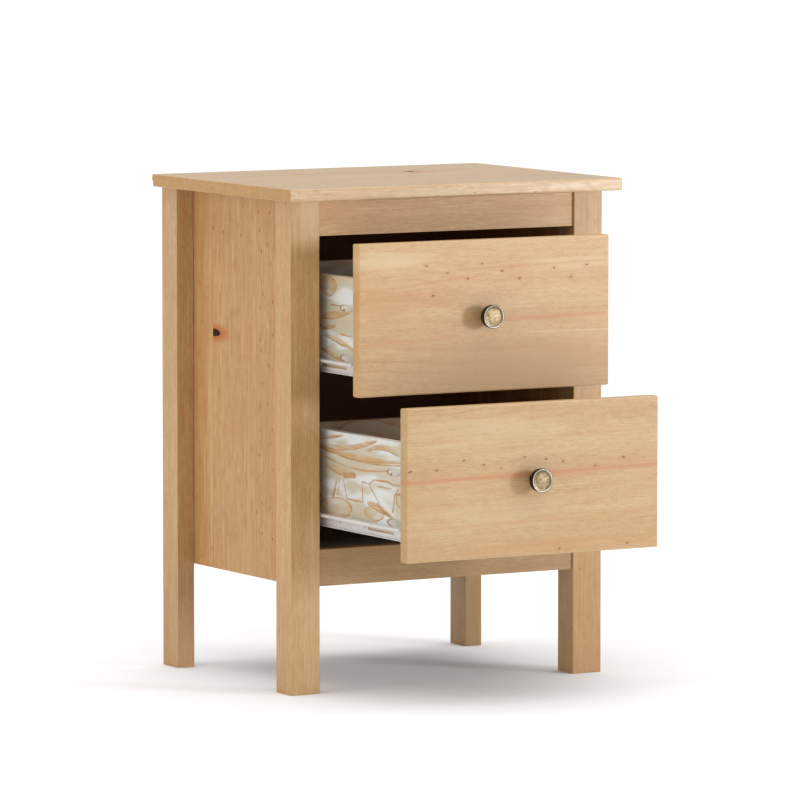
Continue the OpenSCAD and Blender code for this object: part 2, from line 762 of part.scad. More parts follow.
at_upper_drawer() drawer_front();  // upper_drawer_front
at_upper_drawer() drawer_side(LEFT);  // upper_drawer_left_side
at_upper_drawer() drawer_side(RIGHT);  // upper_drawer_right_side
at_upper_drawer() drawer_back();  // upper_drawer_back
at_upper_drawer() drawer_bottom();  // upper_drawer_bottom
at_upper_drawer() knob();  // upper_drawer_knob
at_upper_drawer() knob_screw();  // upper_drawer_knob_screw
at_upper_drawer() pocket_screws();  // upper_drawer_pocket_screws
at_upper_drawer() box_screws();  // upper_drawer_back_screws
at_upper_drawer() at_drawer_rail(LEFT) drawer_rail();  // upper_left_drawer_rail
at_upper_drawer() at_drawer_rail(RIGHT) drawer_rail();  // upper_right_drawer_rail
at_upper_drawer() drawer_rail_screws();  // upper_drawer_rail_screws
at_upper_drawer() drawer_roller_rivets();  // upper_drawer_roller_rivets
at_upper_drawer() at_drawer_rail(LEFT) drawer_roller();  // upper_left_drawer_roller
at_upper_drawer() at_drawer_rail(RIGHT) drawer_roller();  // upper_right_drawer_roller

at_lower_drawer() drawer_front();  // lower_drawer_front
at_lower_drawer() drawer_side(LEFT);  // lower_drawer_left_side
at_lower_drawer() drawer_side(RIGHT);  // lower_drawer_right_side
at_lower_drawer() drawer_back();  // lower_drawer_back
at_lower_drawer() drawer_bottom();  // lower_drawer_bottom
at_lower_drawer() knob();  // lower_drawer_knob
at_lower_drawer() knob_screw();  // lower_drawer_knob_screw
at_lower_drawer() pocket_screws();  // lower_drawer_pocket_screws
at_lower_drawer() box_screws();  // lower_drawer_back_screws
at_lower_drawer() at_drawer_rail(LEFT) drawer_rail();  // lower_left_drawer_rail
at_lower_drawer() at_drawer_rail(RIGHT) drawer_rail();  // lower_right_drawer_rail
at_lower_drawer() drawer_rail_screws();  // lower_drawer_rail_screws
at_lower_drawer() drawer_roller_rivets();  // lower_drawer_roller_rivets
at_lower_drawer() at_drawer_rail(LEFT) drawer_roller();  // lower_left_drawer_roller
at_lower_drawer() at_drawer_rail(RIGHT) drawer_roller();  // lower_right_drawer_roller
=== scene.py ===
"""Dresses the nightstand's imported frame: lacquered pine boards, whitewashed drawer boxes,
enamelled roller slides and antique brass knobs, on a pale studio floor."""
import math
import random

import bmesh
import bpy
from bpy.props import FloatProperty, FloatVectorProperty, IntProperty, PointerProperty
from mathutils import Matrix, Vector


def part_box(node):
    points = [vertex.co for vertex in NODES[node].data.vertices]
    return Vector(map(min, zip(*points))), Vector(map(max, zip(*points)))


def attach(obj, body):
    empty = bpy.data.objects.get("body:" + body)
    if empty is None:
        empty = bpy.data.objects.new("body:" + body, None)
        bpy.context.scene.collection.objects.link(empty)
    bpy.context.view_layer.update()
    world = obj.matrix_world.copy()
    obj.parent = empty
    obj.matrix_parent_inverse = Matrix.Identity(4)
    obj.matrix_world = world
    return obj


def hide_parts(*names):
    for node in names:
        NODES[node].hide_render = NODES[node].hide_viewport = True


bl_info = {
    "name": "Nightstand",
    "version": (1, 0, 0),
    "blender": (4, 5, 0),
    "location": "View3D > Sidebar > Nightstand",
    "description": "Builds and finishes a pine nightstand with two drawers around its packed frame",
    "category": "Object",
}

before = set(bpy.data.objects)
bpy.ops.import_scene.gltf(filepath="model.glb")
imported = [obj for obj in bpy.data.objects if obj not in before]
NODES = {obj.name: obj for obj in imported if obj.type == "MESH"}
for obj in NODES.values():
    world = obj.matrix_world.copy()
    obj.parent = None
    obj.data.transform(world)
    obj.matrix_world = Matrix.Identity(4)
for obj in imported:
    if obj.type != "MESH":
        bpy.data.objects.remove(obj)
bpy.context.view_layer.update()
MM = 0.001
LEVELS = ("upper", "lower")
SIDES = ("left", "right")
X, Y, Z = 0, 1, 2


# ---- Settings ----

def colour(name, description, default):
    """A colour setting in linear light."""
    return FloatVectorProperty(
        name=name, description=description, subtype="COLOR", size=3, min=0.0, max=1.0, default=default
    )


def length(name, description, default):
    """A length setting in metres."""
    return FloatProperty(name=name, description=description, subtype="DISTANCE", unit="LENGTH",
                         min=0.0, default=default)


class WoodSettings(bpy.types.PropertyGroup):
    """Colours and edges of the wooden parts."""

    pale: colour("Pale pine", "Early wood of the lacquered pine", (0.575, 0.405, 0.240))
    warm: colour("Warm pine", "Broad warmer streaks of the lacquered pine", (0.485, 0.305, 0.155))
    late: colour("Late wood", "The darker side of each growth ring", (0.410, 0.212, 0.076))
    blush: colour("Blush", "Pink and orange streaks along the grain", (0.530, 0.283, 0.133))
    rose: colour("Rose", "Salmon streaks of the drawer fronts", (0.530, 0.235, 0.120))
    cream: colour("Cream", "The palest patches and glue seams", (0.640, 0.500, 0.330))
    fleck: colour("Flecks", "Small resin flecks along the grain", (0.235, 0.085, 0.030))
    knot: colour("Knot", "The dark core of a knot", (0.030, 0.014, 0.012))
    halo: colour("Knot halo", "The resin-rich ring round a knot", (0.480, 0.180, 0.030))
    wash: colour("White wash", "Thin white wash on the drawer boxes", (0.500, 0.450, 0.345))
    fresh_wash: colour("Thick wash", "Patches where the wash is thicker and bluer", (0.640, 0.665, 0.655))
    washed_grain: colour("Washed grain", "Late wood that shows through the wash", (0.400, 0.195, 0.052))
    washed_tan: colour("Washed tan", "Softer wood beside the late wood", (0.530, 0.365, 0.190))
    hardboard: colour("Hardboard", "The brown back panel", (0.270, 0.142, 0.080))
    stain: colour("Stain", "The dark stained bottom panel", (0.160, 0.155, 0.158))
    top_edge: length("Top edge radius", "Rounding of the top board's edges", 2.5 * MM)
    leg_edge: length("Leg edge radius", "Rounding of the legs' upright edges", 1.3 * MM)
    front_edge: length("Front edge radius", "Rounding of the drawer fronts' edges", 2.0 * MM)
    rail_edge: length("Rail edge radius", "Easing of the rails' edges", 0.7 * MM)
    segments: IntProperty(name="Edge segments", description="Faces across a rounded edge",
                          min=1, max=12, default=5)


class HardwareSettings(bpy.types.PropertyGroup):
    """Colours and fineness of the metal parts."""

    brass_light: colour("Worn brass", "Rubbed high spots of the knobs", (0.310, 0.240, 0.130))
    brass_dark: colour("Aged brass", "Mottled patina of the knobs", (0.125, 0.090, 0.045))
    brass_ring: colour("Polished ring", "Thin bright ring inside a knob's rim", (0.780, 0.740, 0.640))
    brass_side: colour("Knob side", "Near-black patina round a knob's side", (0.022, 0.016, 0.012))
    enamel: colour("Enamel", "Off-white epoxy coat of the slide rails", (0.640, 0.605, 0.580))
    nylon: colour("Nylon", "Slide rollers", (0.600, 0.590, 0.550))
    zinc: colour("Zinc", "Plated screws and rivets", (0.520, 0.530, 0.545))
    knob_steps: IntProperty(name="Knob steps", description="Faces round a knob",
                            min=16, max=128, default=72)


class StageSettings(bpy.types.PropertyGroup):
    """Floor, lights and camera."""

    floor: colour("Floor", "Pale studio floor", (0.920, 0.920, 0.920))
    sky: FloatProperty(name="Sky", description="Strength of the even light from all round",
                       min=0.0, default=0.58)
    ceiling: FloatProperty(name="Ceiling", description="Strength of the wide light from straight above",
                           min=0.0, default=1.90)
    key: FloatProperty(name="Key light", description="Power of the light at the right", unit="POWER",
                       min=0.0, default=48.0)
    fill: FloatProperty(name="Fill light", description="Power of the light at the left", unit="POWER",
                        min=0.0, default=26.0)
    azimuth: FloatProperty(name="Azimuth", description="Camera's turn about the object", subtype="ANGLE",
                           unit="ROTATION", default=math.radians(-29.83))
    elevation: FloatProperty(name="Elevation", description="Camera's height above the horizon",
                             subtype="ANGLE", unit="ROTATION", default=math.radians(5.44))
    distance: length("Distance", "From the camera to the object's middle", 8.70)
    lens: FloatProperty(name="Lens", description="Focal length on a 36 mm sensor", min=20.0, default=305.3)


class NightstandSettings(bpy.types.PropertyGroup):
    """All settings of the nightstand."""

    wood: PointerProperty(type=WoodSettings, name="Wood", description="Wooden parts")
    hardware: PointerProperty(type=HardwareSettings, name="Hardware", description="Metal parts")
    stage: PointerProperty(type=StageSettings, name="Stage", description="Floor, lights and camera")


# ---- Shader building ----

class Finish:
    """A material under construction, with short calls for the shader nodes it uses."""

    def __init__(self, name):
        self.material = bpy.data.materials.new(name)
        self.material.use_nodes = True
        self.tree = self.material.node_tree
        self.tree.nodes.clear()
        output = self.tree.nodes.new("ShaderNodeOutputMaterial")
        self.shader = self.tree.nodes.new("ShaderNodeBsdfPrincipled")
        self.tree.links.new(self.shader.outputs[0], output.inputs["Surface"])
        self.coords = self.tree.nodes.new("ShaderNodeTexCoord")

    def plug(self, socket, value):
        """Links a socket to another, or sets its value."""
        if isinstance(value, bpy.types.NodeSocket):
            self.tree.links.new(value, socket)
        elif value is not None:
            socket.default_value = value

    def node(self, kind, inputs, **settings):
        """Adds a node, with its inputs by name or number."""
        made = self.tree.nodes.new("ShaderNode" + kind)
        for key, value in settings.items():
            setattr(made, key, value)
        for key, value in inputs.items():
            self.plug(made.inputs[key], value)
        return made

    def calc(self, operation, a, b=None, c=None):
        """One step of arithmetic."""
        return self.node("Math", {0: a, 1: b, 2: c}, operation=operation).outputs[0]

    def add(self, *terms):
        """The sum of all terms."""
        total = terms[0]
        for term in terms[1:]:
            total = self.calc("ADD", total, term)
        return total

    def times(self, *factors):
        """The product of all factors."""
        product = factors[0]
        for factor in factors[1:]:
            product = self.calc("MULTIPLY", product, factor)
        return product

    def less(self, a, b):
        """a minus b."""
        return self.calc("SUBTRACT", a, b)

    def join(self, x, y, z):
        """A vector from three numbers."""
        return self.node("CombineXYZ", {0: x, 1: y, 2: z}).outputs[0]

    def split(self, vector):
        """The three numbers of a vector."""
        return self.node("SeparateXYZ", {0: vector}).outputs

    def scaled(self, vector, factors):
        """A vector with each part multiplied."""
        return self.node("VectorMath", {0: vector, 1: factors}, operation="MULTIPLY").outputs[0]

    def step(self, value, start, end, low=0.0, high=1.0):
        """A smooth step from low to high as value goes from start to end."""
        inputs = {"Value": value, "From Min": start, "From Max": end, "To Min": low, "To Max": high}
        return self.node("MapRange", inputs, interpolation_type="SMOOTHSTEP").outputs[0]

    def noise(self, vector, scale=1.0, detail=2.0, roughness=0.5, distortion=0.0):
        """Cloudy noise from 0 to 1."""
        inputs = {"Vector": vector, "Scale": scale, "Detail": detail, "Roughness": roughness,
                  "Distortion": distortion}
        return self.node("TexNoise", inputs).outputs[0]

    def cells(self, vector):
        """Distance to, and random value of, the nearest of scattered points."""
        made = self.node("TexVoronoi", {"Vector": vector, "Scale": 1.0, "Randomness": 1.0})
        return made.outputs["Distance"], self.split(made.outputs["Color"])[0]

    def chance(self, value):
        """A random number from 0 to 1 that belongs to a value."""
        return self.node("TexWhiteNoise", {"W": value}, noise_dimensions="1D").outputs["Value"]

    def curve(self, value, stops):
        """A grey curve through (place, height) stops."""
        made = self.node("ValToRGB", {0: value})
        points = made.color_ramp.elements
        while len(points) < len(stops):
            points.new(0.5)
        for point, (place, height) in zip(points, stops):
            point.position = place
            point.color = (height, height, height, 1.0)
        return made.outputs[0]

    def mix(self, factor, a, b, blend="MIX"):
        """Blends colour a towards colour b."""
        inputs = {0: factor, 6: rgba(a), 7: rgba(b)}
        return self.node("Mix", inputs, data_type="RGBA", blend_type=blend).outputs[2]

    def bump(self, height, strength, distance):
        """Raises the surface by a height pattern."""
        inputs = {"Height": height, "Strength": strength, "Distance": distance}
        self.plug(self.shader.inputs["Normal"], self.node("Bump", inputs).outputs[0])

    def coat(self, **values):
        """Sets the shader's own inputs, such as Roughness or Metallic."""
        for key, value in values.items():
            self.plug(self.shader.inputs[key.replace("_", " ")], value)

    def nearest(self, place, spots):
        """Distance from a place to the nearest of the spots."""
        gap = None
        for spot in spots:
            here = self.node("VectorMath", {0: place, 1: spot}, operation="DISTANCE").outputs["Value"]
            gap = here if gap is None else self.calc("MINIMUM", gap, here)
        return gap


class Board(Finish):
    """A finish with the place on a board in millimetres, measured from its middle: g along the
    grain, w across the width and t through the thickness. Joints are the places across the width
    where strips are glued, and each strip has its own luck."""

    def __init__(self, name, node, along, across, seed=0.0, joints=()):
        super().__init__(name)
        low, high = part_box(node)
        parts = self.split(self.coords.outputs["Object"])
        middle = (low + high) / 2
        self.facing = self.split(self.coords.outputs["Normal"])
        self.along, self.across, self.through = along, across, 3 - along - across
        self.g, self.w, self.t = (
            self.times(self.less(parts[axis], middle[axis]), 1000.0)
            for axis in (self.along, self.across, self.through)
        )
        self.joints = joints
        strip = seed
        for joint in joints:
            strip = self.add(strip, self.calc("GREATER_THAN", self.w, joint))
        self.luck = self.chance(strip)
        # Each strip takes its figure from a far-off place, so that no two match
        self.shift = self.times(self.luck, 977.0)
        self.spot = self.join(self.add(self.g, self.shift), self.w, self.add(self.t, self.shift))

    def cloud(self, along, across, detail=2.0, roughness=0.5, offset=0.0):
        """Noise whose clouds are about 1 / along by 1 / across millimetres."""
        place = self.scaled(self.spot, (along, across, across))
        if offset:
            moved = {0: place, 1: (offset, offset, offset)}
            place = self.node("VectorMath", moved, operation="ADD").outputs[0]
        return self.noise(place, detail=detail, roughness=roughness)

    def streak(self, ragged, start, end, middle, slope, half):
        """A line along the grain from start to end, soft at its edges and ends."""
        off = self.less(self.w, self.add(self.times(self.g, slope), middle))
        off = self.add(self.calc("ABSOLUTE", off), self.times(self.less(ragged, 0.5), half * 2.0))
        inside = self.step(off, half, half * 0.35)
        fade = 12.0
        return self.times(inside, self.step(self.g, start, start + fade),
                          self.step(self.g, end, end - fade))

    def from_oval(self, g, w, along, across, half_length, half_width):
        """How far a place is from an oval's middle, with 1 on its rim."""
        place = self.join(self.times(g, 1.0 / half_length), self.times(w, 1.0 / half_width), 0.0)
        return self.nearest(place, [(along / half_length, across / half_width, 0.0)])

    def patch(self, ragged, along, across, half_length, half_width):
        """A soft ragged patch."""
        gap = self.from_oval(self.g, self.w, along, across, half_length, half_width)
        return self.step(self.add(gap, self.times(self.less(ragged, 0.5), 1.1)), 1.15, 0.25)

    def stroke(self, ragged, from_g, from_w, to_g, to_w, half):
        """A straight stroke between two places, with ragged sides."""
        reach = Vector((to_g - from_g, to_w - from_w, 0.0))
        place = self.join(self.less(self.g, from_g), self.less(self.w, from_w), 0.0)
        share = self.node("VectorMath", {0: place, 1: reach / reach.length_squared},
                          operation="DOT_PRODUCT").outputs["Value"]
        share = self.calc("MINIMUM", self.calc("MAXIMUM", share, 0.0), 1.0)
        foot = self.node("VectorMath", {0: reach, "Scale": share}, operation="SCALE").outputs[0]
        gap = self.node("VectorMath", {0: place, 1: foot}, operation="DISTANCE").outputs["Value"]
        gap = self.add(gap, self.times(self.less(ragged, 0.5), 2.4))
        return self.step(gap, half + 0.4, half - 0.4)

    def flecks(self, places, size):
        """Small drop-shaped flecks at the given places."""
        jitter = self.cloud(0.12, 0.35, detail=1.0, offset=31.0)
        long = self.times(self.add(self.g, self.times(self.less(jitter, 0.5), 6.0)), 0.6)
        wide = self.add(self.w, self.times(self.less(jitter, 0.5), 3.0))
        gap = self.nearest(self.join(long, wide, 0.0), [(g * 0.6, w, 0.0) for g, w in places])
        return self.step(gap, self.step(jitter, 0.3, 0.7, size * 0.75, size * 1.35), size * 0.3)

    def scattered_flecks(self, amount):
        """Sparse flecks in a few irregular runs along the grain."""
        gap, pick = self.cells(self.scaled(self.spot, (0.050, 0.090, 0.090)))
        column = self.cloud(0.003, 0.035, detail=1.0, offset=7.0)
        return self.times(self.step(gap, 0.125, 0.06), self.calc("GREATER_THAN", pick, 0.35),
                          self.step(column, 0.46, 0.58), amount)

    def knot(self, along, across, half_length, half_width):
        """How near a knot is, its halo and its dark core. A knot ends at the glue joint beside it."""
        gap = self.from_oval(self.g, self.w, along, across, half_length, half_width)
        rough = self.cloud(0.16, 0.16, detail=3.0, offset=3.0)
        gap = self.add(gap, self.times(self.less(rough, 0.5), 0.5))
        fields = [self.step(gap, 4.5, 0.6), self.step(gap, 3.0, 1.3), self.step(gap, 1.10, 0.84)]
        for joint in self.joints:
            if abs(across - joint) < 1.5 * half_width:
                same = self.calc("GREATER_THAN" if across > joint else "LESS_THAN", self.w, joint)
                fields = [self.times(field, same) for field in fields]
        return fields

    def rounding(self):
        """1 on rounded edges, 0 on the flat faces."""
        x, y, z = (self.calc("ABSOLUTE", part) for part in self.facing)
        return self.step(self.calc("MAXIMUM", self.calc("MAXIMUM", x, y), z), 0.975, 0.85)

    def end_grain(self):
        """1 where the surface faces along the grain."""
        return self.step(self.calc("ABSOLUTE", self.facing[self.along]), 0.30, 0.80)


def rgba(value):
    """A colour setting with an alpha of 1, or the socket itself."""
    if isinstance(value, bpy.types.NodeSocket):
        return value
    return (*value[:3], 1.0)


def toned(value, factor):
    """A colour made lighter or darker."""
    return tuple(min(1.0, part * factor) for part in value)


# ---- Wood ----

def pine(name, node, along, across, seed=0.0, pith=(30.0, 45.0), lean=0.02, ring=5.5, contrast=0.6,
         tint=(1.0, 1.0, 1.0), shade=0.0, joints=(), tones=(), scatter=0.0, flecks=(), knots=(),
         streaks=(), patches=(), seams=(), gloss=0.16, figure=1.0, ends=0.35, wear_and_highlight=0.65):
    """Clear lacquered pine, sawn from a log whose pith lies pith = (across, below) of the board,
    with rings so many millimetres apart. Contrast is the strength of the rings and figure that of
    the streaks between them. Shade warms the whole board, and tones the strips between the joints.
    Gloss is the lacquer's coat, ends the darkness of the end grain, and the last setting the
    strength of the pale highlight painted along the rounded edges. Scatter strews flecks. The rest are
    features at places on the board:
    flecks (along, across), knots (along, across, half length, half width), streaks
    (colour, strength, start, end, across, slope, half width), patches (colour, strength, along,
    across, half length, half width) and seams (start, end, across, slope, half width)."""
    wood = bpy.context.scene.nightstand.wood
    board = Board(name, node, along, across, seed, joints)
    g, w, luck = board.g, board.w, board.luck

    drift = board.cloud(0.0035, 0.013, detail=3.0)
    wander = board.times(board.less(drift, 0.5), 46.0)
    side = board.add(w, board.times(g, lean), board.times(board.less(luck, 0.5), 90.0), pith[0], wander)
    deep = board.add(board.t, pith[1], board.times(wander, 0.6))
    radius = board.calc("SQRT", board.add(board.times(side, side), board.times(deep, deep)))
    knot_parts = [board.knot(*knot) for knot in knots]
    for near, _, _ in knot_parts:
        radius = board.add(radius, board.times(near, 11.0))
    fine = board.cloud(0.012, 0.25)
    phase = board.calc("FRACT", board.add(board.times(radius, 1.0 / ring), board.times(fine, 0.35)))
    late = board.curve(phase, [(0.0, 0.0), (0.45, 0.10), (0.86, 1.0), (0.95, 0.75), (1.0, 0.0)])
    faint = board.cloud(0.004, 0.02, detail=1.0, offset=5.0)
    late = board.times(late, board.step(faint, 0.3, 0.75, 0.25, 1.0))

    fibre = board.cloud(0.100, 0.95, detail=3.0, roughness=0.75)
    thread = board.cloud(0.016, 0.50, detail=3.0, roughness=0.6, offset=29.0)
    mid = board.cloud(0.011, 0.16, detail=3.0, roughness=0.6, offset=11.0)
    broad = board.cloud(0.0030, 0.030, detail=3.0, roughness=0.6, offset=17.0)
    mottle = board.cloud(0.055, 0.11, detail=2.0, offset=23.0)
    blotch = board.cloud(0.012, 0.028, detail=3.0, roughness=0.65, offset=41.0)

    tone = board.step(broad, 0.34, 0.68, 0.0, 0.62)
    tone = board.add(tone, board.times(board.less(luck, 0.5), 0.30), shade + 0.08)
    for joint, change in zip(joints, [b - a for a, b in zip(tones, tones[1:])]):
        tone = board.add(tone, board.times(board.calc("GREATER_THAN", w, joint), change))
    if tones:
        tone = board.add(tone, tones[0])
    tone = board.calc("MINIMUM", board.calc("MAXIMUM", tone, 0.0), 1.15)
    base = board.mix(tone, wood.pale, wood.warm)
    base = board.mix(board.step(mid, 0.52, 0.74, 0.0, 0.70 * figure), base, wood.blush)
    base = board.mix(board.step(mid, 0.46, 0.26, 0.0, 0.65 * figure), base, wood.cream)
    base = board.mix(board.times(late, contrast), base, wood.late)
    base = board.mix(board.step(thread, 0.50, 0.74, 0.0, 0.30 * figure), base, wood.late)
    base = board.mix(board.step(thread, 0.50, 0.30, 0.0, 0.35 * figure), base, wood.cream)
    base = board.mix(board.step(fibre, 0.50, 0.74, 0.0, 0.62), base, wood.late)
    base = board.mix(board.step(fibre, 0.50, 0.26, 0.0, 0.55), base, wood.cream)
    base = board.mix(board.step(mottle, 0.50, 0.80, 0.0, 0.40 * figure), base, wood.late)
    base = board.mix(board.step(blotch, 0.50, 0.72, 0.0, 0.50 * figure), base, wood.warm)

    for kind, strength, *place in patches:
        base = board.mix(board.times(board.patch(mid, *place), strength), base, getattr(wood, kind))
    for kind, strength, *place in streaks:
        base = board.mix(board.times(board.streak(fibre, *place), strength), base, getattr(wood, kind))
    for place in seams:
        base = board.mix(board.streak(0.5, *place), base, wood.cream)
    if scatter:
        base = board.mix(board.scattered_flecks(scatter), base, wood.fleck)
    if flecks:
        base = board.mix(board.times(board.flecks(flecks, 4.2), 0.30), base, wood.blush)
        base = board.mix(board.times(board.flecks(flecks, 1.9), 0.85), base, wood.fleck)
    for joint in joints:
        gap = board.calc("ABSOLUTE", board.less(w, joint))
        base = board.mix(board.step(gap, 0.8, 0.2, 0.0, 0.55), base, wood.late)
    specular = 0.25 + 0.5 * gloss
    coat = gloss
    for _, halo, core in knot_parts:
        base = board.mix(halo, base, wood.halo)
        base = board.mix(core, base, wood.knot)
        sound = board.less(1.0, board.times(core, 0.85))
        specular = board.times(specular, sound)
        coat = board.times(coat, sound)

    end_grain = board.end_grain()
    pores = board.step(board.add(fibre, board.times(mottle, 0.5)), 0.55, 0.95, 0.62, 1.05)
    base = board.mix(board.times(end_grain, pores, ends), base, wood.late)
    # Cream on the rounded edges is a painted highlight along them
    base = board.mix(board.times(board.rounding(), board.less(1.0, end_grain), wear_and_highlight), base, wood.cream)
    base = board.mix(1.0, base, tint, "MULTIPLY")
    rough = board.add(0.40, board.times(fibre, 0.16), board.times(end_grain, 0.12))
    coat = board.times(coat, board.less(1.0, end_grain))
    board.coat(Base_Color=base, Roughness=rough, Specular_IOR_Level=specular, Coat_Weight=coat,
               Coat_Roughness=0.28)
    board.bump(board.add(board.times(fibre, 0.6), board.times(late, 0.4)), 0.10, 0.25 * MM)
    return board.material


def washed_ply(name, node, along, across, seed, inside, bands=(), rings=(), veins=(), dots=()):
    """Rotary-cut pine plywood under a thin white wash, with late wood showing through. Inside is
    the direction of its inner face, which is darker both for a duller wash there and as painted
    shade inside the box. Bands are bowed stretches of
    late wood (start and end along the board, heights there and halfway, half width), rings are its
    closed loops (along, across, half length, half width, fill), veins are its crooked lines (half
    width, then places along and across), and dots are dark places (along, across)."""
    wood = bpy.context.scene.nightstand.wood
    board = Board(name, node, along, across, seed)
    g, w = board.g, board.w
    ragged = board.cloud(0.030, 0.30, detail=3.0)
    wave = board.times(board.less(ragged, 0.5), 2.6)
    body = line = 0.0
    if not bands:
        swell = board.cloud(0.0048, 0.0185, detail=1.0, roughness=0.35)
        phase = board.calc("FRACT", board.add(board.times(swell, 8.5), board.times(ragged, 0.16)))
        body = board.curve(phase, [(0.0, 0.0), (0.45, 0.0), (0.62, 0.7), (0.87, 1.0), (0.91, 0.0)])
        line = board.curve(phase, [(0.0, 0.0), (0.81, 0.0), (0.86, 1.0), (0.89, 1.0), (0.92, 0.0)])
    for start, end, first, middle, last, half in bands:
        part = board.times(board.less(g, (start + end) / 2), 2.0 / (end - start))
        rise = board.times(part, (last - first) / 2)
        bow = board.times(part, part, (first + last) / 2 - middle)
        off = board.less(w, board.add(middle, rise, bow, wave))
        width = board.less(half * 1.4, board.times(part, part, half * 1.05))
        below = board.step(board.add(off, width), -0.35, 0.35)
        above = board.step(board.less(off, width), 2.0, -1.4)
        ends = board.times(board.step(g, start, start + 8.0), board.step(g, end, end - 8.0))
        body = board.calc("MAXIMUM", body, board.times(below, above, ends))
        edge = board.calc("ABSOLUTE", board.add(off, width, -0.5))
        line = board.calc("MAXIMUM", line, board.times(board.step(edge, 1.0, 0.3), ends))
    bulge = board.times(board.less(board.cloud(0.035, 0.070, detail=1.0, offset=19.0), 0.5), 5.0)
    for ring_g, ring_w, half_length, half_width, fill in rings:
        gap = board.from_oval(board.add(g, bulge), board.add(w, wave, bulge),
                              ring_g, ring_w, half_length, half_width)
        rim = board.times(board.calc("ABSOLUTE", board.less(gap, 1.0)), min(half_length, half_width))
        fade = board.step(g, ring_g + half_length * 0.7, ring_g - half_length * 0.3, 0.25, 1.0)
        line = board.calc("MAXIMUM", line, board.times(board.step(rim, 0.9, 0.2), fade))
        shading = board.step(gap, 0.2, 1.0, 0.25, fill)
        body = board.calc("MAXIMUM", body, board.times(board.step(gap, 1.05, 0.97), shading))
    for half, *places in veins:
        for here, there in zip(places, places[1:]):
            line = board.calc("MAXIMUM", line, board.stroke(ragged, *here, *there, half))

    fibre = board.cloud(0.03, 0.9, detail=3.0, roughness=0.6)
    patch = board.cloud(0.014, 0.045, offset=9.0)
    deep = board.step(board.cloud(0.025, 0.20, detail=2.0, offset=13.0), 0.35, 0.65, 0.55, 0.95)
    wear_and_highlight = board.add(board.step(fibre, 0.50, 0.80, 0.0, 0.40), board.step(patch, 0.50, 0.70, 0.0, 0.45))
    base = board.mix(board.times(wear_and_highlight, 0.7), wood.wash, wood.washed_tan)
    base = board.mix(board.step(patch, 0.50, 0.34, 0.0, 0.85), base, wood.fresh_wash)
    base = board.mix(board.times(body, deep), base, wood.washed_tan)
    base = board.mix(board.times(body, deep, deep, 0.45), base, wood.washed_grain)
    base = board.mix(board.times(line, deep), base, wood.washed_grain)

    low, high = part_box(node)
    half_depth = (high - low)[board.through] * 500.0
    half_across = (high - low)[board.across] * 500.0
    depth = board.calc("ABSOLUTE", board.t)
    facing = board.calc("ABSOLUTE", board.facing[board.through])
    layers = board.calc("FRACT", board.times(board.add(board.t, half_depth), 0.42))
    edge = board.times(board.step(facing, 0.7, 0.3), board.step(layers, 0.45, 0.60), 0.45)
    base = board.mix(edge, base, wood.washed_grain)
    inner = board.step(board.calc("ABSOLUTE", w), half_across - 2.0, half_across - 4.0)
    bored = board.times(inner, board.step(depth, half_depth - 0.1, half_depth - 0.3))
    base = board.mix(bored, base, board.mix(0.35, wood.fresh_wash, wood.washed_tan))
    # A thin dark line just inside each pocket's rim is painted shade on the pocket's wall
    lip = board.times(bored, board.step(depth, half_depth - 1.2, half_depth - 0.6))
    base = board.mix(board.times(lip, 0.85), base, wood.fleck)
    if dots:
        places = [(dot_g * 0.7, dot_w, 0.0) for dot_g, dot_w in dots]
        gap = board.nearest(board.join(board.times(g, 0.7), w, 0.0), places)
        base = board.mix(board.times(board.step(gap, 1.7, 0.8), 0.9), base, wood.fleck)
    # Inner faces darkened: partly a duller wash, partly painted shade inside the drawer box
    turned = board.step(board.times(board.facing[board.through], inside), 0.5, 0.9)
    base = board.mix(turned, base, board.mix(1.0, base, (0.60, 0.50, 0.40), "MULTIPLY"))
    rough = board.add(0.50, board.times(fibre, 0.15))
    board.coat(Base_Color=base, Roughness=rough, Specular_IOR_Level=0.35)
    board.bump(board.add(board.times(fibre, 0.5), board.times(line, 0.5)), 0.12, 0.3 * MM)
    return board.material


def felted(name, base):
    """Thin dark board with a faint felted texture."""
    finish = Finish(name)
    place = finish.coords.outputs["Object"]
    cloud = finish.noise(place, scale=26.0, detail=4.0)
    grit = finish.noise(place, scale=900.0, detail=2.0)
    felt = finish.add(finish.times(cloud, 0.5), finish.times(grit, 0.3))
    colour_mix = finish.mix(felt, base, toned(base, 1.45))
    finish.coat(Base_Color=colour_mix, Roughness=finish.step(cloud, 0.3, 0.7, 0.50, 0.70))
    finish.bump(grit, 0.15, 0.2 * MM)
    return finish.material


# ---- Metal and plastic ----

